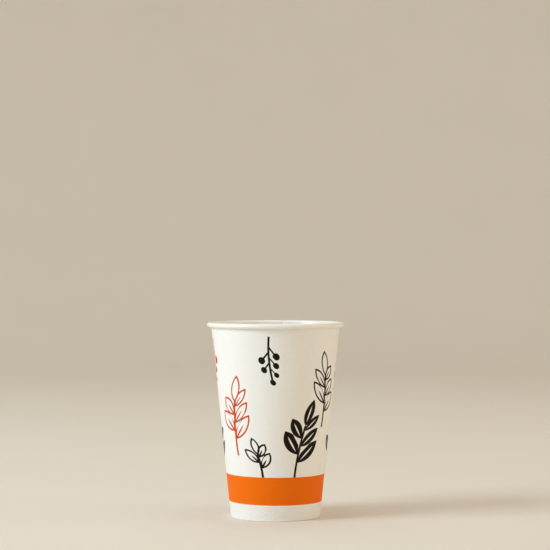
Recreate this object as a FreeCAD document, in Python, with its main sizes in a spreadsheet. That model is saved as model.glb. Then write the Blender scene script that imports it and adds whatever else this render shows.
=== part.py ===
import FreeCAD, Part
import math
import os
import Sketcher

# A cone paper cup stands on the XY plane with its axis on +Z. Its front faces -Y and its side seam
# lies at the back. The sidewall is one blank of coated board: lapped into a cone, rolled outwards at
# the rim and folded inwards at the foot, where it holds the turned-down skirt of the bottom disc.

# Each driving dimension: alias, value in millimetres or degrees, and what it measures.
SIZES = [
    ("cup_height", "127", "foot to the top of the rolled rim"),
    ("rim_diameter", "90", "over the rolled rim"),
    ("foot_diameter", "58.4", "over the sidewall at the foot"),
    ("bead_width", "3.2", "rolled rim, from the drink side to its outside"),
    ("tuck_clearance", "0.12", "between the tucked end of the roll and the sidewall"),
    ("tuck_turn", "75", "degrees that the tucked end turns on past the underside of the roll"),
    ("wall_board", "0.36", "thickness of the sidewall's board"),
    ("fold_radius", "0.3", "outer corners of the fold that the cup stands on"),
    ("hem_clearance", "0.3", "between the top edge of the hem and the bend of the disc"),
    ("seal_film", "0.02", "plastic film on each side of the disc's skirt"),
    ("disc_board", "0.3", "thickness of the bottom disc's board"),
    ("disc_height", "7.8", "drink side of the disc above the foot"),
    ("disc_bend", "1", "outer radius where the disc turns down into its skirt"),
    ("skirt_lift", "0.8", "lower edge of the skirt above the bottom of the fold"),
    ("lap_width", "8", "overlap of the two ends of the blank"),
    ("ramp_width", "3.5", "run in which the outer ply comes down off the edge of the inner ply"),
]

# The slope of the sidewall against the foot plane, as its own section reports it.
WALL_SLOPE = "SidewallSection.Constraints.wall_slope"

# The origin of a sketch is the first point of its horizontal axis.
ORIGIN = "x_axis.start"


def make_sheet(doc):
    sheet = doc.addObject("Spreadsheet::Sheet", "Sizes")
    for row, (alias, value, meaning) in enumerate(SIZES, start=1):
        sheet.set(f"A{row}", alias)
        sheet.set(f"B{row}", value)
        sheet.set(f"C{row}", meaning)
        sheet.setAlias(f"B{row}", alias)
    doc.recompute()
    return sheet


def sketch_on(body, role, name, height=None):
    """A sketch on one of the body's own planes, lifted above it where a height is given."""
    sketch = body.newObject("Sketcher::SketchObject", name)
    plane = next(feature for feature in body.Origin.OriginFeatures if feature.Role == role)
    sketch.AttachmentSupport = [(plane, "")]
    sketch.MapMode = "FlatFace"
    if height:
        sketch.setExpression("AttachmentOffset.Base.z", height)
    return sketch


class Outline:
    """Draws the lines and arcs of a sketch under names, and ties their sizes to formulas.

    A point of an edge is written as the edge's name and its place, such as tail.start or fold.centre.
    """

    # A sketch numbers the places on an edge in this order, and its own two axes down from -1.
    places = ("whole", "start", "end", "centre")
    axes = ("x_axis", "y_axis")

    def __init__(self, sketch):
        self.sketch = sketch
        self.edges = {axis: -1 - index for index, axis in enumerate(self.axes)}

    def value(self, formula):
        result = self.sketch.evalExpression(formula)
        if isinstance(result, FreeCAD.Units.Quantity):
            is_angle = result.Unit == FreeCAD.Units.Angle
            return result.getValueAs("rad").Value if is_angle else result.Value
        return result

    def line(self, name, start, end, construction=False):
        self.edges[name] = self.sketch.addGeometry(Part.LineSegment(start, end), construction)

    def arc(self, name, centre, radius, first, last):
        """An arc that runs anticlockwise between two angles, given in radians."""
        circle = Part.Circle(centre, FreeCAD.Vector(0, 0, 1), radius)
        self.edges[name] = self.sketch.addGeometry(Part.ArcOfCircle(circle, first, last))

    def rounded(self, name, centre, radius, first, last, flats):
        """Equal flats whose corners lie on a construction arc, from its start to its end.

        Turned round the axis, each flat becomes a cone, so a rounding is a ring of narrow cones.
        """
        self.arc(name, centre, radius, first, last)
        self.sketch.setConstruction(self.edges[name], True)
        turns = [first + (last - first) * step / flats for step in range(flats + 1)]
        corners = [centre + FreeCAD.Vector(math.cos(turn), math.sin(turn), 0) * radius for turn in turns]
        chords = [f"{name}_flat{step}" for step in range(flats)]
        for chord, start, end in zip(chords, corners, corners[1:]):
            self.line(chord, start, end)
        self.tie("Coincident", f"{chords[0]}.start", f"{name}.start")
        self.tie("Coincident", f"{chords[-1]}.end", f"{name}.end")
        for chord, following in zip(chords, chords[1:]):
            self.tie("Coincident", f"{chord}.end", f"{following}.start")
            self.tie("PointOnObject", f"{chord}.end", name)
            self.tie("Equal", chord, following)

    def arc_between(self, name, centre, start, end):
        """An arc that runs anticlockwise from one point to another on the same circle."""
        first = math.atan2(start.y - centre.y, start.x - centre.x)
        last = math.atan2(end.y - centre.y, end.x - centre.x)
        self.arc(name, centre, (start - centre).Length, first, last)

    def on_circle(self, across, radius):
        """The point beyond the origin at a distance across and a radius, both given as formulas."""
        x = self.value(across)
        return FreeCAD.Vector(x, math.sqrt(self.value(radius) ** 2 - x ** 2), 0)

    def tie(self, kind, *items):
        """A constraint on edges and points that are given by name, and on plain numbers."""
        numbers = []
        for item in items:
            if not isinstance(item, str):
                numbers.append(item)
                continue
            edge, _, place = item.partition(".")
            numbers.append(self.edges[edge])
            if place:
                numbers.append(self.places.index(place))
        return self.sketch.addConstraint(Sketcher.Constraint(kind, *numbers))

    def size(self, name, kind, *items, formula):
        """A named dimension that follows a formula on the sheet's cells."""
        index = self.tie(kind, *items, float(self.value(formula)))
        self.sketch.renameConstraint(index, name)
        self.sketch.setExpression(f"Constraints.{name}", formula)

    def measure(self, name, kind, *items, value):
        """A named dimension that only reports what the others give."""
        index = self.tie(kind, *items, value)
        self.sketch.setDriving(index, False)
        self.sketch.renameConstraint(index, name)


class WallFrame:
    """Places along and across the slanted sidewall, for drawing a section where it will end up."""

    def __init__(self, sheet):
        self.foot = sheet.foot_diameter / 2
        roll = sheet.bead_width / 2
        self.roll_centre = FreeCAD.Vector(sheet.rim_diameter / 2 - roll, sheet.cup_height - roll, 0)
        run = self.roll_centre - FreeCAD.Vector(self.foot, 0, 0)
        self.lean = math.atan2(run.x, run.y) - math.asin((roll - sheet.wall_board) / run.Length)
        self.up = FreeCAD.Vector(math.sin(self.lean), math.cos(self.lean), 0)
        self.inward = FreeCAD.Vector(-math.cos(self.lean), math.sin(self.lean), 0)

    def at(self, height, depth):
        """The point at a height above the foot and at a depth behind the wall's outer face."""
        base = FreeCAD.Vector(self.foot, 0, 0) + self.inward * depth
        return base + self.up * ((height - base.y) / self.up.y)


def draw_sidewall(sketch, sheet):
    """The section of the sidewall, from its fold and hem at the foot up to its rolled rim."""
    outline = Outline(sketch)
    wall = WallFrame(sheet)
    board = sheet.wall_board
    roll = sheet.bead_width / 2
    tuck = roll - board - sheet.tuck_clearance
    gap = sheet.disc_board + 2 * sheet.seal_film
    corner = sheet.fold_radius
    hem_top = sheet.disc_height - sheet.disc_bend - sheet.hem_clearance
    lean = wall.lean
    right_angle = math.pi / 2

    # Angles of the directions into the cup, down the wall and out of the cup, anticlockwise.
    inward = 2 * right_angle - lean
    down = 3 * right_angle - lean
    outward = 4 * right_angle - lean

    # The rolled rim: a turn over the top and down the outside, then a tighter one that tucks the
    # edge in against the wall. A stretch has a name, a centre, the radius of its outside, the two
    # directions that it runs between and its number of flats.
    centre = wall.roll_centre
    tuck_centre = centre - wall.up * (roll - tuck)
    tail = down - math.radians(sheet.tuck_turn)
    out = 4 * right_angle
    stretches = [
        ("under", centre, roll, down, out, 2),
        ("side", centre, roll, out, out + right_angle, 3),
        ("top", centre, roll, out + right_angle, out + inward, 2),
        ("tuck", tuck_centre, tuck, tail, down, 1),
    ]
    for name, middle, radius, first, last, flats in stretches:
        outline.rounded(f"{name}_outside", middle, radius, first, last, flats)
        outline.rounded(f"{name}_inside", middle, radius - board, first, last, flats)
    tail_ray = FreeCAD.Vector(math.cos(tail), math.sin(tail), 0)
    outline.line("tail", tuck_centre + tail_ray * (tuck - board), tuck_centre + tail_ray * tuck)
    outline.line("roll_axis", centre, tuck_centre, construction=True)

    # The foot: the wall folds up round the skirt of the disc and ends in the hem.
    fold_centre = wall.at(board + gap / 2, board + gap / 2)
    outer_corner = wall.at(corner, corner)
    inner_corner = wall.at(corner, 2 * board + gap - corner)
    outline.rounded("fold", fold_centre, gap / 2, inward, outward, flats=1)
    outline.rounded("outer_corner", outer_corner, corner, 3 * right_angle, outward, flats=1)
    outline.rounded("inner_corner", inner_corner, corner, inward, 3 * right_angle, flats=1)
    outline.line("foot", FreeCAD.Vector(inner_corner.x, 0, 0), FreeCAD.Vector(outer_corner.x, 0, 0))
    hem_edge = wall.at(hem_top, board + gap)
    outline.line("hem_outside", fold_centre + wall.inward * (gap / 2), hem_edge)
    outline.line("hem_edge", hem_edge, hem_edge + wall.inward * board)
    outline.line("hem_inside", hem_edge + wall.inward * board, inner_corner + wall.inward * corner)

    # The two faces of the wall, and the corner that the foot diameter measures to.
    outline.line("wall_outside", outer_corner - wall.inward * corner, centre + wall.inward * (roll - board))
    outline.line("wall_inside", centre + wall.inward * roll, fold_centre - wall.inward * (gap / 2))
    outline.line("foot_reach", FreeCAD.Vector(0, 0, 0), FreeCAD.Vector(wall.foot, 0, 0), construction=True)

    joins = [
        ("wall_outside.start", "outer_corner.end"),
        ("outer_corner.start", "foot.end"),
        ("foot.start", "inner_corner.end"),
        ("inner_corner.start", "hem_inside.end"),
        ("hem_outside.start", "fold.start"),
        ("fold.end", "wall_inside.end"),
        ("wall_inside.start", "top_outside.end"),
        ("under_outside.start", "tuck_outside.end"),
        ("tuck_inside.end", "under_inside.start"),
        ("top_inside.end", "wall_outside.end"),
    ]
    for join in joins:
        outline.tie("Tangent", *join)
    meetings = [
        ("hem_outside.end", "hem_edge.start"),
        ("hem_edge.end", "hem_inside.start"),
        ("tuck_inside.start", "tail.start"),
        ("tuck_outside.start", "tail.end"),
        ("side_outside.centre", "side_inside.centre"),
        ("tuck_outside.centre", "tuck_inside.centre"),
        ("roll_axis.start", "side_outside.centre"),
        ("roll_axis.end", "tuck_outside.centre"),
        ("foot_reach.start", ORIGIN),
    ]
    for meeting in meetings:
        outline.tie("Coincident", *meeting)
    for face in ("outside", "inside"):
        outline.tie("Coincident", f"under_{face}.end", f"side_{face}.start")
        outline.tie("Coincident", f"side_{face}.end", f"top_{face}.start")
        outline.tie("Coincident", f"under_{face}.centre", f"side_{face}.centre")
        outline.tie("Coincident", f"top_{face}.centre", f"side_{face}.centre")
        outline.tie("Horizontal", f"side_{face}.start", f"side_{face}.centre")
        outline.tie("Vertical", f"side_{face}.end", f"side_{face}.centre")
    for follower in ("wall_inside", "hem_outside", "hem_inside", "roll_axis"):
        outline.tie("Parallel", follower, "wall_outside")
    outline.tie("Perpendicular", "hem_edge", "hem_outside")
    outline.tie("PointOnObject", "tuck_outside.centre", "tail")
    outline.tie("PointOnObject", "foot_reach.end", "wall_outside")
    outline.tie("PointOnObject", "foot_reach.end", "x_axis")
    outline.tie("PointOnObject", "foot.start", "x_axis")
    outline.tie("Horizontal", "foot")
    outline.tie("Equal", "inner_corner", "outer_corner")

    outline.size("foot_radius", "Distance", "foot_reach", formula="Sizes.foot_diameter / 2")
    outline.size("roll_reach", "DistanceX", "side_outside.centre",
                 formula="Sizes.rim_diameter / 2 - Sizes.bead_width / 2")
    outline.size("roll_height", "DistanceY", "side_outside.centre",
                 formula="Sizes.cup_height - Sizes.bead_width / 2")
    outline.size("roll_radius", "Radius", "side_outside", formula="Sizes.bead_width / 2")
    outline.size("roll_hollow", "Radius", "side_inside",
                 formula="Sizes.bead_width / 2 - Sizes.wall_board")
    outline.size("tuck_radius", "Radius", "tuck_outside",
                 formula="Sizes.bead_width / 2 - Sizes.wall_board - Sizes.tuck_clearance")
    outline.size("fold_hollow", "Radius", "fold", formula="Sizes.disc_board / 2 + Sizes.seal_film")
    outline.size("fold_floor", "DistanceY", "fold.centre",
                 formula="Sizes.wall_board + Sizes.disc_board / 2 + Sizes.seal_film")
    outline.size("corner_radius", "Radius", "outer_corner", formula="Sizes.fold_radius")
    outline.size("hem_board", "Distance", "hem_edge", formula="Sizes.wall_board")
    outline.size("hem_height", "DistanceY", "hem_outside.end",
                 formula="Sizes.disc_height - Sizes.disc_bend - Sizes.hem_clearance")
    outline.size("tail_angle", "Angle", "tail.start", "roll_axis.start",
                 formula="Sizes.tuck_turn * 1 deg")
    outline.measure("wall_slope", "Angle", "wall_outside", value=right_angle - lean)


def draw_disc(sketch, sheet):
    """The section of the bottom disc, from its centre out to the skirt that turns down inside the wall."""
    outline = Outline(sketch)
    wall = WallFrame(sheet)
    board = sheet.disc_board
    bend = sheet.disc_bend
    face = sheet.wall_board + sheet.seal_film
    top = sheet.disc_height
    lean = wall.lean
    right_angle = math.pi / 2
    outward = 4 * right_angle - lean

    bend_centre = wall.at(top - bend, face + bend)
    rim_top = FreeCAD.Vector(bend_centre.x, top, 0)
    rim_under = FreeCAD.Vector(bend_centre.x, top - board, 0)
    skirt_foot = wall.at(sheet.wall_board + sheet.skirt_lift, face)
    outline.line("drink_side", FreeCAD.Vector(0, top, 0), rim_top)
    outline.rounded("bend_outside", bend_centre, bend, outward, 5 * right_angle, flats=1)
    outline.line("skirt_outside", bend_centre - wall.inward * bend, skirt_foot)
    outline.line("skirt_edge", skirt_foot, skirt_foot + wall.inward * board)
    outline.line("skirt_inside", skirt_foot + wall.inward * board,
                 bend_centre - wall.inward * (bend - board))
    outline.rounded("bend_inside", bend_centre, bend - board, outward, 5 * right_angle, flats=1)
    outline.line("underside", rim_under, FreeCAD.Vector(0, top - board, 0))
    outline.line("middle", FreeCAD.Vector(0, top - board, 0), FreeCAD.Vector(0, top, 0))
    outline.line("wall_outside", FreeCAD.Vector(wall.foot, 0, 0), wall.at(top, 0), construction=True)

    joins = [
        ("drink_side.end", "bend_outside.end"),
        ("bend_outside.start", "skirt_outside.start"),
        ("skirt_inside.end", "bend_inside.start"),
        ("bend_inside.end", "underside.start"),
    ]
    for join in joins:
        outline.tie("Tangent", *join)
    meetings = [
        ("skirt_outside.end", "skirt_edge.start"),
        ("skirt_edge.end", "skirt_inside.start"),
        ("bend_outside.centre", "bend_inside.centre"),
        ("underside.end", "middle.start"),
        ("middle.end", "drink_side.start"),
    ]
    for meeting in meetings:
        outline.tie("Coincident", *meeting)
    outline.tie("Horizontal", "drink_side")
    outline.tie("Horizontal", "underside")
    outline.tie("Perpendicular", "skirt_edge", "skirt_outside")
    outline.tie("Parallel", "skirt_outside", "wall_outside")
    outline.tie("Parallel", "skirt_inside", "wall_outside")
    outline.tie("PointOnObject", "drink_side.start", "y_axis")
    outline.tie("PointOnObject", "middle.start", "y_axis")
    outline.tie("PointOnObject", "wall_outside.start", "x_axis")

    outline.size("foot_radius", "DistanceX", "wall_outside.start", formula="Sizes.foot_diameter / 2")
    outline.size("wall_slope", "Angle", "wall_outside", formula=WALL_SLOPE)
    outline.size("wall_end", "DistanceY", "wall_outside.end", formula="Sizes.disc_height")
    outline.size("seat_depth", "Distance", "bend_outside.start", "wall_outside",
                 formula="Sizes.wall_board + Sizes.seal_film")
    outline.size("drink_height", "DistanceY", "drink_side.start", formula="Sizes.disc_height")
    outline.size("bend_radius", "Radius", "bend_outside", formula="Sizes.disc_bend")
    outline.size("board", "Distance", "middle", formula="Sizes.disc_board")
    outline.size("skirt_foot", "DistanceY", "skirt_outside.end",
                 formula="Sizes.wall_board + Sizes.skirt_lift")


def cone_radius(height, depth):
    """The formula for the radius at a height, at a depth behind the wall's outer face."""
    return f"Sizes.foot_diameter / 2 + ({height}) / tan({WALL_SLOPE}) - ({depth}) / sin({WALL_SLOPE})"


def draw_outer_ply(sketch, height):
    """Where the outer ply stands proud: over the lap, and down a ramp to the single board.

    It reaches half a board into the wall, so that the two join through their thickness.
    """
    outline = Outline(sketch)
    cut_side = "-Sizes.lap_width / 2"
    lap_side = "Sizes.lap_width / 2"
    ramp_side = "Sizes.lap_width / 2 + Sizes.ramp_width"
    proud = cone_radius(height, "-Sizes.wall_board")
    buried = cone_radius(height, "Sizes.wall_board / 2")

    corners = {}
    for name, side, radius in (
        ("cut_proud", cut_side, proud),
        ("lap_proud", lap_side, proud),
        ("ramp_buried", ramp_side, buried),
        ("cut_buried", cut_side, buried),
    ):
        corners[name] = outline.on_circle(side, radius)
    axis = FreeCAD.Vector(0, 0, 0)
    outline.arc_between("ply_face", axis, corners["lap_proud"], corners["cut_proud"])
    outline.arc_between("ply_back", axis, corners["ramp_buried"], corners["cut_buried"])
    outline.line("cut_edge", corners["cut_buried"], corners["cut_proud"])
    outline.line("ramp", corners["lap_proud"], corners["ramp_buried"])

    meetings = [
        ("ply_face.centre", ORIGIN),
        ("ply_back.centre", ORIGIN),
        ("ply_back.end", "cut_edge.start"),
        ("cut_edge.end", "ply_face.end"),
        ("ply_face.start", "ramp.start"),
        ("ramp.end", "ply_back.start"),
    ]
    for meeting in meetings:
        outline.tie("Coincident", *meeting)
    outline.size("proud_radius", "Radius", "ply_face", formula=proud)
    outline.size("buried_radius", "Radius", "ply_back", formula=buried)
    outline.size("cut_side", "DistanceX", "cut_edge.end", formula=cut_side)
    outline.size("buried_side", "DistanceX", "cut_edge.start", formula=cut_side)
    outline.size("lap_side", "DistanceX", "ramp.start", formula=lap_side)
    outline.size("ramp_side", "DistanceX", "ramp.end", formula=ramp_side)


def draw_inner_edge(sketch, height):
    """The hollow beside the inner ply's edge, under the ramp of the outer ply.

    It opens half a board past the wall's inner face, into the cup.
    """
    outline = Outline(sketch)
    corners = [
        ("edge_top", "Sizes.lap_width / 2", cone_radius(height, "0")),
        ("edge_mouth", "Sizes.lap_width / 2", cone_radius(height, "Sizes.wall_board * 3 / 2")),
        ("ramp_mouth", "Sizes.lap_width / 2 + Sizes.ramp_width",
         cone_radius(height, "Sizes.wall_board * 3 / 2")),
    ]
    points = [outline.on_circle(side, radius) for name, side, radius in corners]
    sides = ["edge", "mouth", "ramp"]
    for index, side in enumerate(sides):
        outline.line(side, points[index], points[(index + 1) % len(points)])
    for index, side in enumerate(sides):
        following = sides[(index + 1) % len(sides)]
        outline.tie("Coincident", f"{side}.end", f"{following}.start")
        name, across, radius = corners[index]
        outline.size(f"{name}_side", "DistanceX", f"{side}.start", formula=across)
        outline.size(f"{name}_radius", "Distance", f"{side}.start", ORIGIN, formula=radius)


def turn(body, sketch, name):
    revolution = body.newObject("PartDesign::Revolution", name)
    revolution.Profile = sketch
    revolution.ReferenceAxis = (sketch, ["V_Axis"])
    revolution.Angle = 360
    return revolution


def loft_up_wall(body, kind, name, draw, heights):
    """A loft between two level sections, each drawn for its own height on the wall."""
    sections = []
    for place, height in zip(("Low", "High"), heights):
        section = sketch_on(body, "XY_Plane", f"{name}{place}", height)
        draw(section, height)
        sections.append(section)
    loft = body.newObject(kind, name)
    loft.Profile = sections[0]
    loft.Sections = sections[1:]
    loft.Ruled = True
    return loft


def make_sidewall(doc, sheet):
    body = doc.addObject("PartDesign::Body", "Sidewall")
    body.Label = "sidewall"
    section = sketch_on(body, "XZ_Plane", "SidewallSection")
    draw_sidewall(section, sheet)
    doc.recompute()
    wall = turn(body, section, "LappedCone")
    doc.recompute()
    wall_volume = body.Shape.Volume

    under_roll = "Sizes.cup_height - Sizes.bead_width"
    in_roll = "Sizes.cup_height - Sizes.bead_width / 2"
    loft_up_wall(body, "PartDesign::AdditiveLoft", "OuterPly", draw_outer_ply,
                 ("Sizes.fold_radius", in_roll))
    doc.recompute()
    lapped_volume = body.Shape.Volume
    loft_up_wall(body, "PartDesign::SubtractiveLoft", "InnerEdge", draw_inner_edge,
                 ("Sizes.disc_height", under_roll))
    doc.recompute()
    if not (wall_volume < lapped_volume and body.Shape.Volume < lapped_volume):
        raise RuntimeError("the lap of the side seam left the wall unchanged")
    return body


def make_bottom_disc(doc, sheet):
    body = doc.addObject("PartDesign::Body", "BottomDisc")
    body.Label = "bottom_disc"
    section = sketch_on(body, "XZ_Plane", "DiscSection")
    draw_disc(section, sheet)
    turn(body, section, "PressedDisc")
    doc.recompute()
    return body


def check(doc, bodies):
    """Stops before anything is written if a feature failed or a piece isn't one sound solid."""
    for item in doc.Objects:
        if "Invalid" in item.State or "Error" in item.State:
            raise RuntimeError(f"{item.Label} failed: {item.State}")
    for body in bodies:
        shape = body.Shape
        if shape.isNull() or not shape.isValid() or len(shape.Solids) != 1:
            raise RuntimeError(f"{body.Label} isn't one sound solid")


def main():
    doc = FreeCAD.newDocument("ConeCup")
    sheet = make_sheet(doc)
    bodies = [make_sidewall(doc, sheet), make_bottom_disc(doc, sheet)]
    doc.recompute()
    check(doc, bodies)
    os.makedirs("parts", exist_ok=True)
    for body in bodies:
        body.Placement = FreeCAD.Placement()
        body.Shape.exportStep(f"parts/{body.Label}.step")
        box = body.Shape.BoundBox
        print(f"{body.Label}: {body.Shape.Volume:.1f} mm3, {box.XLength:.2f} x {box.YLength:.2f} x "
              f"{box.ZLength:.2f} mm")


main()
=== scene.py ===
import math

import bmesh
import bpy
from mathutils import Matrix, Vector, noise


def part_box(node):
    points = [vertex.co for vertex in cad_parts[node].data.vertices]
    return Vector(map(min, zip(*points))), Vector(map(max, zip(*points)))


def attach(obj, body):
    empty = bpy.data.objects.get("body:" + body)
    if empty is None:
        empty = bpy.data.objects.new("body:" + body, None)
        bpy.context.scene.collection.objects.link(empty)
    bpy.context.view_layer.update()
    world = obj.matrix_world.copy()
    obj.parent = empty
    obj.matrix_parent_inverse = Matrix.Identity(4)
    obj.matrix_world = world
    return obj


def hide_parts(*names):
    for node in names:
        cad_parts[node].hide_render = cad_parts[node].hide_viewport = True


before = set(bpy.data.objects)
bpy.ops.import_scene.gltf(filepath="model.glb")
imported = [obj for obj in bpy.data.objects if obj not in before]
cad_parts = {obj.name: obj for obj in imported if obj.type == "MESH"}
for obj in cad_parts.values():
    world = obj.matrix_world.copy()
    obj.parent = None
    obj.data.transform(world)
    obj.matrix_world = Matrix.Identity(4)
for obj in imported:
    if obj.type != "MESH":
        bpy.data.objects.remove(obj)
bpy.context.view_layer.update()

# A cone paper cup: the printed sidewall and the pressed bottom disc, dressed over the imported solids.
# It stands on z = 0 with its front at -Y and its lapped side seam at +Y.

mm = 0.001


# Shader maths

class Value:
    # a shader socket that takes part in sums
    def __init__(self, shader, socket):
        self.shader = shader
        self.socket = socket

    def __add__(self, other):
        return self.shader.math("ADD", self, other)

    def __radd__(self, other):
        return self.shader.math("ADD", other, self)

    def __sub__(self, other):
        return self.shader.math("SUBTRACT", self, other)

    def __rsub__(self, other):
        return self.shader.math("SUBTRACT", other, self)

    def __mul__(self, other):
        return self.shader.math("MULTIPLY", self, other)

    def __rmul__(self, other):
        return self.shader.math("MULTIPLY", other, self)

    def __truediv__(self, other):
        return self.shader.math("DIVIDE", self, other)

    def __rtruediv__(self, other):
        return self.shader.math("DIVIDE", other, self)

    def __neg__(self):
        return self.shader.math("MULTIPLY", self, -1)

    def __abs__(self):
        return self.shader.math("ABSOLUTE", self)


class Shader:
    # one material, with a Principled shader at its end
    def __init__(self, name):
        self.material = bpy.data.materials.new(name)
        self.material.use_nodes = True
        self.tree = self.material.node_tree
        self.surface = next(n for n in self.tree.nodes if n.type == "BSDF_PRINCIPLED")

    def node(self, kind, settings=None, sockets=None, output=0):
        # settings come first, because some of them change which sockets there are
        made = self.tree.nodes.new(kind)
        for name, setting in (settings or {}).items():
            setattr(made, name, setting)
        for name, value in (sockets or {}).items():
            if isinstance(value, Value):
                self.tree.links.new(value.socket, made.inputs[name])
            else:
                made.inputs[name].default_value = value
        return Value(self, made.outputs[output])

    def math(self, operation, *values):
        return self.node("ShaderNodeMath", {"operation": operation}, dict(enumerate(values)))

    def smaller(self, *values):
        least = values[0]
        for value in values[1:]:
            least = self.math("MINIMUM", least, value)
        return least

    def larger(self, *values):
        most = values[0]
        for value in values[1:]:
            most = self.math("MAXIMUM", most, value)
        return most

    def inside(self, distance, soft):
        # 1 where the distance is below zero, 0 outside, with a soft edge
        return self.node("ShaderNodeMapRange", {"interpolation_type": "SMOOTHSTEP"},
                         {"Value": distance, "From Min": soft, "From Max": -soft})

    def mix(self, factor, first, second):
        return self.node("ShaderNodeMix", {"data_type": "RGBA"},
                         {"Factor": factor, "A": first, "B": second}, output="Result")

    def noise(self, place, scale, detail=2.0, roughness=0.5):
        return self.node("ShaderNodeTexNoise", None,
                         {"Vector": place, "Scale": scale, "Detail": detail, "Roughness": roughness})

    def fibres(self, place, scale, roughness):
        stretched = self.node("ShaderNodeMapping", None, {"Vector": place, "Scale": scale})
        return self.noise(stretched, 1, 3, roughness)

    def relief(self, height, strength, depth):
        return self.node("ShaderNodeBump", None,
                         {"Height": height, "Strength": strength, "Distance": depth}, output="Normal")

    def objectPlace(self):
        return self.node("ShaderNodeTexCoord", None, None, output="Object")

    def axes(self, place):
        split = self.node("ShaderNodeSeparateXYZ", None, {"Vector": place})
        return [Value(self, out) for out in split.socket.node.outputs]

    def finish(self, **values):
        for name, value in values.items():
            socket = self.surface.inputs[name.replace("_", " ")]
            if isinstance(value, Value):
                self.tree.links.new(value.socket, socket)
            else:
                socket.default_value = value
        return self.material


# The cup's own measures. Its height and width come from the solid that it dresses.

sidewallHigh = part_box("sidewall")[1]

cup = {
    "height": sidewallHigh[2],
    "rimRadius": sidewallHigh[0],
    "footRadius": 29.2 * mm,
    "beadWidth": 3.2 * mm,
    "board": 0.36 * mm,
    "beadTurn": 270,            # degrees that the rim is rolled before its edge is tucked in
    "tuckTurn": 75,
    "tuckGap": 0.12 * mm,
    "skirtGap": 0.34 * mm,      # room in the fold for the disc's skirt
    "hemHeight": 6.5 * mm,
    "lapHalf": 4 * mm,          # half of the overlap in the side seam
    "ramp": 3.5 * mm,           # run in which the outer ply comes down off the inner one
    "cutWidth": 0.03 * mm,
    "columns": 462,
    "rows": {"hem": 14, "fold": 8, "knurling": 15, "wall": 20, "bead": 20, "tuck": 5},
    "sharpAngle": 50,
}

# Slanting ridges that the foot is pressed with, up to a crease
knurling = {
    "top": 6.6 * mm,
    "ridges": 77,
    "slant": 1.15,              # how far a ridge runs to the right for each step up
    "wallDepth": 0.27 * mm,
    "hemDepth": 0.2 * mm,
    "creaseDepth": 0.1 * mm,
    "creaseWidth": 0.5 * mm,
    "lowEnd": (0.6 * mm, 1.2 * mm),     # heights between which the ridges fade in
    "highFade": 1 * mm,
}

# A softness in the wall, none at the foot or the rim, so the cup stays inside its box
uneven = {
    "depth": 0.2 * mm,
    "turns": 1.6,
    "height": 60 * mm,
    "streakDepth": 0.07 * mm,   # faint flats that run up the wall, where the board was rolled
    "streakTurns": 4.5,
    "streakHeight": 150 * mm,
    "streakShift": 5,           # keeps the streaks apart from the broad softness
}

rollRadius = cup["beadWidth"] / 2
rollCentre = Vector((cup["rimRadius"] - rollRadius, 0, cup["height"] - rollRadius))
run = rollCentre - Vector((cup["footRadius"], 0, 0))
lean = math.atan2(run.x, run.z) - math.asin((rollRadius - cup["board"]) / run.length)
upWall = Vector((math.sin(lean), 0, math.cos(lean)))
intoCup = Vector((-math.cos(lean), 0, math.sin(lean)))


def onWall(height, depth):
    # the point at a height, at a depth behind the wall's printed face
    base = Vector((cup["footRadius"], 0, 0)) + intoCup * depth
    return base + upWall * ((height - base.z) / upWall.z)


# Line work for a section in the XZ plane: each step starts at the tip and returns the new tip

def runTo(bm, tip, point, cuts):
    made = bmesh.ops.extrude_vert_indiv(bm, verts=[tip])
    made["verts"][0].co = point
    bmesh.ops.subdivide_edges(bm, edges=made["edges"], cuts=cuts)
    return min(bm.verts, key=lambda vert: (vert.co - point).length)


def turnRound(bm, tip, centre, degrees, steps):
    made = bmesh.ops.spin(bm, geom=[tip], cent=centre, axis=(0, 1, 0), angle=math.radians(degrees),
                          steps=steps)
    return next(item for item in made["geom_last"] if isinstance(item, bmesh.types.BMVert))


def spinRound(bm, columns):
    bmesh.ops.spin(bm, geom=bm.verts[:] + bm.edges[:], cent=(0, 0, 0), axis=(0, 0, 1),
                   angle=math.tau, steps=columns, use_merge=True)
    bmesh.ops.remove_doubles(bm, verts=bm.verts[:], dist=0.001 * mm)
    bmesh.ops.recalc_face_normals(bm, faces=bm.faces[:])


def makePiece(name, bm, materials, sharpDegrees):
    mesh = bpy.data.meshes.new(name)
    bm.to_mesh(mesh)
    bm.free()
    for material in materials:
        mesh.materials.append(material)
    for face in mesh.polygons:
        face.use_smooth = True
    mesh.set_sharp_from_angle(angle=math.radians(sharpDegrees))
    piece = bpy.data.objects.new(name, mesh)
    bpy.context.collection.objects.link(piece)
    return piece


# Sidewall

def drawSection(bm):
    # the side of the board that meets the drink, from the edge of the hem to the tucked end
    board, gap, rows = cup["board"], cup["skirtGap"], cup["rows"]
    tip = bm.verts.new(onWall(cup["hemHeight"], board + gap))
    foldCentre = onWall(board + gap / 2, board + gap / 2)
    tip = runTo(bm, tip, foldCentre + intoCup * gap / 2, rows["hem"])
    tip = turnRound(bm, tip, foldCentre, -180, rows["fold"])
    tip = runTo(bm, tip, onWall(knurling["top"] + knurling["creaseWidth"], board), rows["knurling"])
    tip = runTo(bm, tip, rollCentre + intoCup * rollRadius, rows["wall"])
    tip = turnRound(bm, tip, rollCentre, cup["beadTurn"], rows["bead"])
    tuckRadius = rollRadius - board - cup["tuckGap"]
    tuckCentre = rollCentre - upWall * (rollRadius - tuckRadius)
    turnRound(bm, tip, tuckCentre, cup["tuckTurn"], rows["tuck"])


def cutBack(bm, x):
    # a row of edges along the wall at the back, where the seam needs one
    back = [face for face in bm.faces if face.calc_center_median().y > 0]
    edges = {edge for face in back for edge in face.edges}
    verts = {vert for face in back for vert in face.verts}
    bmesh.ops.bisect_plane(bm, geom=back + list(edges) + list(verts), dist=0.0001 * mm,
                           plane_co=(x, 0, 0), plane_no=(1, 0, 0))


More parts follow.
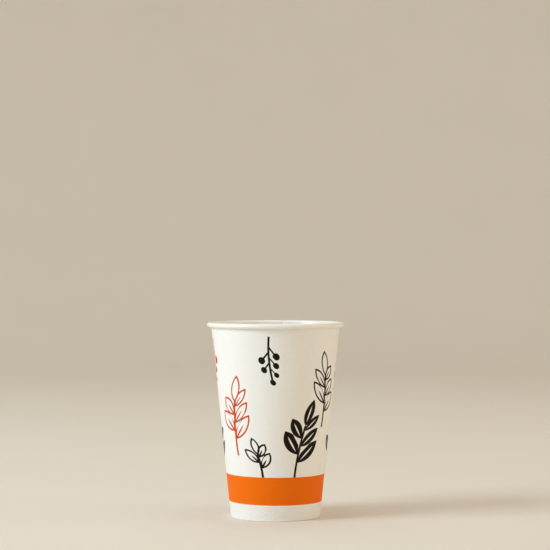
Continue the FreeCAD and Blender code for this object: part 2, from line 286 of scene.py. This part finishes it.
def share(value, start, end):
    # 0 before the start, 1 past the end
    return min(max((value - start) / (end - start), 0), 1)


def lapHeight(x):
    # how far the printed face stands out over the lap: a cut edge on one side, a ramp on the other
    half = cup["lapHalf"]
    edge = share(x, -half - cup["cutWidth"], -half)
    return cup["board"] * edge * (1 - share(x, half, half + cup["ramp"]))


def edgeDepth(x):
    # the hollow that the inner ply's edge leaves on the drink side, under the ramp
    half = cup["lapHalf"]
    edge = share(x, half, half + cup["cutWidth"])
    return cup["board"] * edge * (1 - share(x, half, half + cup["ramp"]))


def pressedDepth(place):
    # how deep the knurling wheel and the crease over it have pressed the printed side
    angle = math.atan2(place.x, -place.y)
    radius = place.xy.length
    isHem = radius < onWall(place.z, cup["board"] * 1.5).x
    top = knurling["top"]
    crease = 1 - min(abs(place.z - top) / knurling["creaseWidth"], 1)
    fade = share(place.z, *knurling["lowEnd"]) * (1 - share(place.z, top - knurling["highFade"], top))
    ridge = math.sin(knurling["ridges"] * (angle - place.z * knurling["slant"] / radius))
    depth = knurling["hemDepth"] if isHem else knurling["wallDepth"]
    return depth * (0.5 + 0.5 * ridge) * fade + (0 if isHem else knurling["creaseDepth"] * crease)


def outOfRound(place):
    swell = math.sin(math.pi * share(place.z, 0, cup["height"]))
    around = place.xy.normalized()
    spot = Vector((*(around * uneven["turns"]), place.z / uneven["height"]))
    streakHeight = place.z / uneven["streakHeight"] + uneven["streakShift"]
    streak = Vector((*(around * uneven["streakTurns"]), streakHeight))
    broad = noise.noise(spot) * uneven["depth"]
    return (broad + noise.noise(streak) * uneven["streakDepth"]) * swell


def sidewallMesh():
    bm = bmesh.new()
    drawSection(bm)
    spinRound(bm, cup["columns"])
    middle = max(bm.faces, key=lambda face: face.calc_area())
    if middle.normal.xy.dot(middle.calc_center_median().xy) > 0:
        bmesh.ops.reverse_faces(bm, faces=bm.faces[:])
    printed = bm.verts.layers.float.new("printed")
    shell = bmesh.ops.solidify(bm, geom=bm.faces[:], thickness=cup["board"])
    for item in shell["geom"]:
        if isinstance(item, bmesh.types.BMVert):
            item[printed] = 1

    half, ramp, cut = cup["lapHalf"], cup["ramp"], cup["cutWidth"]
    for x in (-half - cut, -half, half, half + cut, half + ramp):
        cutBack(bm, x)
    colourSides(bm, printed)

    bm.normal_update()
    moves = []
    for vert in bm.verts:
        place = vert.co
        move = -pressedDepth(place) if vert[printed] else 0
        if place.y > 0:
            move += lapHeight(place.x) if vert[printed] else -edgeDepth(place.x)
        radial = Vector((place.x, place.y, 0)).normalized() * outOfRound(place)
        moves.append(vert.normal * move + radial)
    for vert, move in zip(bm.verts, moves):
        vert.co += move
        vert.co.z = max(vert.co.z, 0)
    return bm


def colourSides(bm, printed):
    # drink side, printed side and cut edges, by their place in the list of materials
    half, cut = cup["lapHalf"], cup["cutWidth"]
    for face in bm.faces:
        side = sum(vert[printed] for vert in face.verts) / len(face.verts)
        middle = face.calc_center_median()
        atCut = -half - cut < middle.x < -half if side > 0.99 else half < middle.x < half + cut
        if 0.01 < side < 0.99 or middle.y > 0 and atCut:
            face.material_index = 2
        else:
            face.material_index = round(side)


# Bottom disc

disc = {
    "board": 0.3 * mm,
    "top": 7.8 * mm,
    "bend": 1 * mm,
    "film": 0.02 * mm,
    "skirtFoot": 1.16 * mm,
    "dish": 0.35 * mm,          # the middle of the disc lies this much lower than its edge
    "puckers": 56,              # small folds where the flat blank is drawn down to a skirt
    "puckerDepth": 0.05 * mm,
    "puckerReach": 1.02,        # where they are deepest, as a share of the flat's radius
    "columns": 336,
    "rows": {"flat": 18, "bend": 7, "skirt": 5},
}


def discMesh():
    bm = bmesh.new()
    rows = disc["rows"]
    face = cup["board"] + disc["film"]
    bendCentre = onWall(disc["top"] - disc["bend"], face + disc["bend"])
    tip = bm.verts.new((0, 0, disc["top"]))
    tip = runTo(bm, tip, Vector((bendCentre.x, 0, disc["top"])), rows["flat"])
    tip = turnRound(bm, tip, bendCentre, 90 + math.degrees(lean), rows["bend"])
    runTo(bm, tip, onWall(disc["skirtFoot"], face), rows["skirt"])
    spinRound(bm, disc["columns"])
    flat = min(bm.faces, key=lambda item: item.calc_center_median().xy.length)
    if flat.normal.z < 0:
        bmesh.ops.reverse_faces(bm, faces=bm.faces[:])
    drinkSide = set(bm.faces)
    bmesh.ops.solidify(bm, geom=bm.faces[:], thickness=disc["board"])
    for item in bm.faces:
        item.material_index = 0 if item in drinkSide else 1
    for vert in bm.verts:
        reach = vert.co.xy.length / bendCentre.x
        angle = math.atan2(vert.co.x, vert.co.y)
        pucker = abs(math.sin(disc["puckers"] / 2 * angle + math.sin(3 * angle)))
        pressed = (1 - pucker) * share(reach, 1, disc["puckerReach"]) * disc["puckerDepth"]
        vert.co.xy *= 1 - pressed / bendCentre.x
        if vert.co.z > disc["top"] - disc["bend"]:
            vert.co.z -= disc["dish"] * (1 - min(reach, 1) ** 2) ** 2
    return bm


# Print, in millimetres on the rolled-out wall: a band, and over it sprigs that come twice round the cup

ink = {
    "dark": (0.012, 0.007, 0.003, 1),
    "orange": (0.57, 0.065, 0.002, 1),
    "band": (0.9, 0.165, 0.0, 1),
    "bandLow": 10.5,
    "bandHigh": 28.6,
    "line": 1.15,
    "repeat": math.pi,
    "slip": 0.7,                # the print's two ends miss each other by this much at the seam
    "slipRadius": 200,          # and they overrun each other by the slip over this, in parts of a turn
    "wander": 0.14,             # how far an edge of ink wanders on the board, up or down
    "wanderTurn": 0.003,        # and in radians round it
    "wanderScale": 1100,
    "edge": 0.06,               # half the width over which an edge goes soft
}

# turn: degrees from the cup's front. foot: height of the stem's end. lean: degrees to the right.
# grows: 1 for up and -1 for down.
sprigs = [
    {"turn": 22, "foot": 27, "grows": 1, "tall": 52, "lean": 4, "bend": 0.0035, "rows": 3, "leaf": 19,
     "wide": 8, "style": "solid", "ink": "dark"},
    {"turn": -14, "foot": 27, "grows": 1, "tall": 27, "lean": -6, "bend": -0.006, "rows": 2, "leaf": 11,
     "wide": 5, "style": "outline", "ink": "dark"},
    {"turn": -45, "foot": 42, "grows": 1, "tall": 50, "lean": -8, "bend": 0.004, "rows": 3, "leaf": 17,
     "wide": 7.4, "style": "outline", "ink": "orange"},
    {"turn": -6, "foot": 119, "grows": -1, "tall": 29, "lean": 5, "bend": 0.006, "rows": 3, "leaf": 7.5,
     "wide": 4.6, "style": "berries", "ink": "dark"},
    {"turn": 57, "foot": 60, "grows": 1, "tall": 48, "lean": 6, "bend": -0.004, "rows": 3, "leaf": 16,
     "wide": 7, "style": "outline", "ink": "dark"},
    {"turn": 88, "foot": 27, "grows": 1, "tall": 38, "lean": -4, "bend": 0.004, "rows": 2, "leaf": 15,
     "wide": 6.6, "style": "solid", "ink": "dark"},
    {"turn": -80, "foot": 117, "grows": -1, "tall": 33, "lean": 5, "bend": -0.005, "rows": 3, "leaf": 8.5,
     "wide": 5, "style": "berries", "ink": "orange"},
]

# How every sprig is drawn, in millimetres or as shares of its own leaf
habit = {
    "angle": math.radians(40),  # between a leaf and the stem
    "tipLeaf": 0.9,
    "spareStep": 0.35,          # bare stem under the tip leaf, in steps between rows
    "shrink": 0.14,             # how much smaller each row is than the one below it
    "stem": 1.3,
    "twig": 1.2,
    "tipBerry": 0.4,
    "leafGap": 1,
    "veinWidth": 1.05,
    "veinStart": 0.18,
    "tipVeinStart": 0.15,
    "veinLength": 0.64,
    "lineVein": 1.1,
    "lineVeinLength": 0.75,
}


def lengthOf(shader, x, y):
    together = shader.node("ShaderNodeCombineXYZ", None, {"X": x, "Y": y})
    return shader.node("ShaderNodeVectorMath", {"operation": "LENGTH"}, {0: together}, output="Value")


def almond(shader, along, across, length, width):
    # distance to a leaf whose two sides are arcs of one radius
    radius = (length ** 2 + width ** 2) / 4 / width
    return lengthOf(shader, along - length / 2, abs(across) + (radius - width / 2)) - radius


def strip(shader, along, across, start, end, width):
    # distance to a straight stroke
    return shader.larger(abs(across) - width / 2, abs(along - (start + end) / 2) - (end - start) / 2)


def drawSprig(shader, turn, height, radius, plan):
    # the mask of one sprig, from radians round the cup and millimetres up it
    half = ink["repeat"] / 2
    x = shader.math("WRAP", turn - math.radians(plan["turn"]), half, -half) * radius
    y = (height - plan["foot"]) * plan["grows"]
    tilt = math.radians(plan["lean"]) * plan["grows"]
    x, y = x * math.cos(tilt) - y * math.sin(tilt), x * math.sin(tilt) + y * math.cos(tilt)
    x = x - y * y * plan["bend"]

    # leaves in rows, the left ones half a step higher than the right ones and one fewer
    tipLeaf = plan["leaf"] * habit["tipLeaf"]
    onLeft = shader.math("LESS_THAN", x, 0)
    step = (plan["tall"] - tipLeaf) / (plan["rows"] + habit["spareStep"])
    side = abs(x)
    lifted = y - onLeft * (step / 2)
    nearest = shader.math("ROUND", (lifted - side / math.tan(habit["angle"])) / step)
    row = shader.smaller(shader.larger(nearest, 1), plan["rows"] - onLeft)
    rise = lifted - row * step
    scale = 1 + habit["shrink"] - row * habit["shrink"]
    sine, cosine = math.sin(habit["angle"]), math.cos(habit["angle"])
    along = (side * sine + rise * cosine) / scale
    across = (side * cosine - rise * sine) / scale

    line, leafLength = ink["line"], plan["leaf"]
    if plan["style"] == "berries":
        berry = lengthOf(shader, along - leafLength, across) - plan["wide"] / 2
        stalk = strip(shader, along, across, 0, leafLength, line)
        tipBerry = lengthOf(shader, x, y - plan["tall"]) - plan["wide"] * habit["tipBerry"]
        stem = strip(shader, y, x, 0, plan["tall"], line * habit["twig"])
        return shader.inside(shader.smaller(berry, stalk, stem, tipBerry), ink["edge"])

    stem = strip(shader, y, x, 0, plan["tall"] - tipLeaf, line * habit["stem"])
    leaf = almond(shader, along - habit["leafGap"], across, leafLength, plan["wide"]) * scale
    tipAlong = y - (plan["tall"] - tipLeaf)
    tip = almond(shader, tipAlong, x, tipLeaf, plan["wide"] * habit["tipLeaf"])
    if plan["style"] == "solid":
        veinStart, tipVeinStart = leafLength * habit["veinStart"], tipLeaf * habit["tipVeinStart"]
        veinLength, width = habit["veinLength"], habit["veinWidth"]
        vein = almond(shader, along - veinStart, across, leafLength * veinLength, width)
        tipVein = almond(shader, tipAlong - tipVeinStart, x, tipLeaf * veinLength, width)
        leaves = shader.smaller(shader.larger(leaf, -vein), shader.larger(tip, -tipVein))
    else:
        veinLength = leafLength * habit["lineVeinLength"]
        vein = almond(shader, along + habit["leafGap"], across, veinLength, line * habit["lineVein"])
        leaves = shader.smaller(abs(leaf) - line / 2, abs(tip) - line / 2, vein)
    return shader.inside(shader.smaller(leaves, stem), ink["edge"])


# Materials

def printPlaces(shader, place):
    # radians round the cup, from the outer ply's cut edge, and millimetres up it, as the blank was printed
    x, y, z = shader.axes(place)
    turn = shader.math("ARCTAN2", x, -y)
    onLap = shader.math("GREATER_THAN", x, -cup["lapHalf"] - cup["cutWidth"] / 2)
    onLap = onLap * shader.math("LESS_THAN", x, 0) * shader.math("GREATER_THAN", y, 0)
    turn = turn + onLap * math.tau
    radius = z / mm * math.tan(lean) + cup["footRadius"] / mm
    wander = shader.noise(place, ink["wanderScale"], 1) - 0.5
    height = z / mm + turn * (ink["slip"] / math.tau) + wander * ink["wander"]
    turn = turn * (1 + ink["slip"] / ink["slipRadius"]) + wander * ink["wanderTurn"]
    return turn, height, radius


# Finishes. Scales are per metre, a fibre's with its height last. Roughness runs from low to high.
printedLook = {
    "colours": ((0.875, 0.872, 0.858, 1), (0.925, 0.923, 0.912, 1)),
    "mottle": 260,
    "speckle": 1500,
    "fibres": (900, 900, 380),
    "grain": 2600,
    "grainShare": 0.3,
    "relief": (0.2, 0.12 * mm),
    "roughness": (0.44, 0.12),
    "inkRoughness": 0.06,
    "specular": 0.08,
    "coat": 0.3,
    "inkedCoat": 0.01,
    "coatRoughness": 0.3,
    "cover": {"band": 0.96, "orange": 0.94, "dark": 0.98},     # how fully each ink hides the board
}
insideLook = {
    "colours": ((0.88, 0.872, 0.845, 1), (0.925, 0.92, 0.90, 1)),
    "mottle": 240,
    "fibres": (700, 700, 300),
    "relief": (0.2, 0.12 * mm),
    "roughness": (0.27, 0.1),
    "coat": 0.4,
    "coatRoughness": 0.14,
}
rawLook = {
    "colours": ((0.76, 0.73, 0.66, 1), (0.88, 0.86, 0.80, 1)),
    "mottle": 700,
    "fibres": (2200, 900, 900),
    "relief": (0.35, 0.1 * mm),
    "roughness": (0.72, 0.15),
}


def printedBoard():
    look = printedLook
    shader = Shader("printedBoard")
    place = shader.objectPlace()
    turn, height, radius = printPlaces(shader, place)
    masks = {"dark": [], "orange": []}
    for plan in sprigs:
        masks[plan["ink"]].append(drawSprig(shader, turn, height, radius, plan))
    bandMiddle = (ink["bandLow"] + ink["bandHigh"]) / 2
    band = shader.inside(abs(height - bandMiddle) - (ink["bandHigh"] - ink["bandLow"]) / 2, ink["edge"])
    dark = shader.larger(*masks["dark"]) * (1 - band)
    orange = shader.larger(*masks["orange"]) * (1 - band)

    mottle = shader.noise(place, look["mottle"], 4, 0.6)
    speckle = shader.noise(place, look["speckle"], 2, 0.6)
    colour = shader.mix(mottle, *look["colours"])
    for mask, name in ((band, "band"), (orange, "orange"), (dark, "dark")):
        # solid ink lies a little unevenly on the board
        cover = look["cover"][name]
        colour = shader.mix(mask * (cover + speckle * (1 - cover) * 2), colour, ink[name])

    grain = shader.noise(place, look["grain"], 2, 0.5) * look["grainShare"]
    fibres = shader.fibres(place, look["fibres"], 0.6) * (1 - look["grainShare"])
    inked = shader.larger(dark, orange, band)
    least, spread = look["roughness"]
    return shader.finish(Base_Color=colour, Normal=shader.relief(fibres + grain, *look["relief"]),
                         Roughness=least + mottle * spread + inked * look["inkRoughness"],
                         Specular_IOR_Level=look["specular"], Coat_Roughness=look["coatRoughness"],
                         Coat_Weight=look["coat"] - inked * (look["coat"] - look["inkedCoat"]))


def plainBoard(name, look, mottleRoughness, fibreRoughness, **coat):
    shader = Shader(name)
    place = shader.objectPlace()
    mottle = shader.noise(place, look["mottle"], 4, mottleRoughness)
    fibres = shader.fibres(place, look["fibres"], fibreRoughness)
    least, spread = look["roughness"]
    return shader.finish(Base_Color=shader.mix(mottle, *look["colours"]), Roughness=least + mottle * spread,
                         Normal=shader.relief(fibres, *look["relief"]), **coat)


insideMaterial = plainBoard("coatedInside", insideLook, 0.6, 0.55, Coat_Weight=insideLook["coat"],
                            Coat_Roughness=insideLook["coatRoughness"])
printMaterial = printedBoard()
rawMaterial = plainBoard("rawBoard", rawLook, 0.65, 0.6)
print("materials made")


# Pieces

cupWall = makePiece("cupWall", sidewallMesh(), [insideMaterial, printMaterial, rawMaterial],
                    cup["sharpAngle"])
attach(cupWall, "root")
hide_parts("sidewall")
print("sidewall made", len(cupWall.data.polygons))

cupBottom = makePiece("cupBottom", discMesh(), [insideMaterial, rawMaterial], cup["sharpAngle"])
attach(cupBottom, "root")
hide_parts("bottom_disc")
print("bottom disc made", len(cupBottom.data.polygons))


# Studio: a pale floor that curves up into a wall all round, a soft key from the left and weak fills

studio = {
    "floorRadius": 1.6,
    "cove": 1.1,
    "wallTop": 2.7,
    "columns": 96,
    "rows": {"floor": 5, "cove": 18, "wall": 1},
    "colours": ((0.75, 0.705, 0.635, 1), (0.78, 0.735, 0.665, 1)),
    "cloud": 6,
    "roughness": 0.75,
    "sharpAngle": 60,
    "sky": (1.0, 0.87, 0.7, 1),
    "skyStrength": 0.35,
}

lights = [
    {"name": "key", "place": (-1.76, -0.78, 1.15), "size": (0.9, 1.1), "power": 32,
     "colour": (0.8, 0.925, 1.0)},
    {"name": "fill", "place": (1.75, -0.35, 0.6), "size": (0.9, 0.9), "power": 7,
     "colour": (1.0, 0.76, 0.48)},
    {"name": "over", "place": (0, 0.3, 2.2), "size": (2.4, 2.4), "power": 18,
     "colour": (1.0, 0.96, 0.9)},
]


def makeFloor():
    bm = bmesh.new()
    radius, cove, rows = studio["floorRadius"], studio["cove"], studio["rows"]
    tip = bm.verts.new((0, 0, 0))
    tip = runTo(bm, tip, Vector((radius, 0, 0)), rows["floor"])
    tip = turnRound(bm, tip, Vector((radius, 0, cove)), -90, rows["cove"])
    runTo(bm, tip, Vector((radius + cove, 0, studio["wallTop"])), rows["wall"])
    spinRound(bm, studio["columns"])
    shader = Shader("paleFloor")
    cloud = shader.noise(shader.objectPlace(), studio["cloud"], 4, 0.6)
    colour = shader.mix(cloud, *studio["colours"])
    material = shader.finish(Base_Color=colour, Roughness=studio["roughness"])
    makePiece("floor", bm, [material], studio["sharpAngle"])


def addLight(plan):
    data = bpy.data.lights.new(plan["name"], "AREA")
    data.shape = "RECTANGLE"
    data.size, data.size_y = plan["size"]
    data.energy = plan["power"]
    data.color = plan["colour"]
    light = bpy.data.objects.new(plan["name"], data)
    light.location = plan["place"]
    toCup = Vector((0, 0, cup["height"] / 2)) - light.location
    light.rotation_euler = toCup.to_track_quat("-Z", "Y").to_euler()
    bpy.context.collection.objects.link(light)


makeFloor()
for light in lights:
    addLight(light)

world = bpy.data.worlds.new("studioWorld")
world.use_nodes = True
sky = world.node_tree.nodes["Background"]
sky.inputs["Color"].default_value = studio["sky"]
sky.inputs["Strength"].default_value = studio["skyStrength"]
bpy.context.scene.world = world
bpy.context.scene.view_settings.view_transform = "Standard"


# Camera: level, as far off and as high as the photograph's arcs say

photo = {
    "frame": 550,               # pixels across
    "focal": 1829,              # focal length in pixels
    "horizon": 267,             # row of the eye level
    "middle": 275.5,            # column of the cup's axis
    "sensor": 36,
    "distance": 1.199,
    "eyeHeight": 0.1631,
}

cameraData = bpy.data.cameras.new("camera")
cameraData.sensor_width = photo["sensor"]
cameraData.lens = photo["sensor"] * photo["focal"] / photo["frame"]
cameraData.shift_x = (photo["frame"] / 2 - photo["middle"]) / photo["frame"]
cameraData.shift_y = (photo["horizon"] - photo["frame"] / 2) / photo["frame"]
camera = bpy.data.objects.new("camera", cameraData)
camera.location = (0, -photo["distance"], photo["eyeHeight"])
camera.rotation_euler = (math.radians(90), 0, 0)
bpy.context.collection.objects.link(camera)
bpy.context.scene.camera = camera
print("studio made")
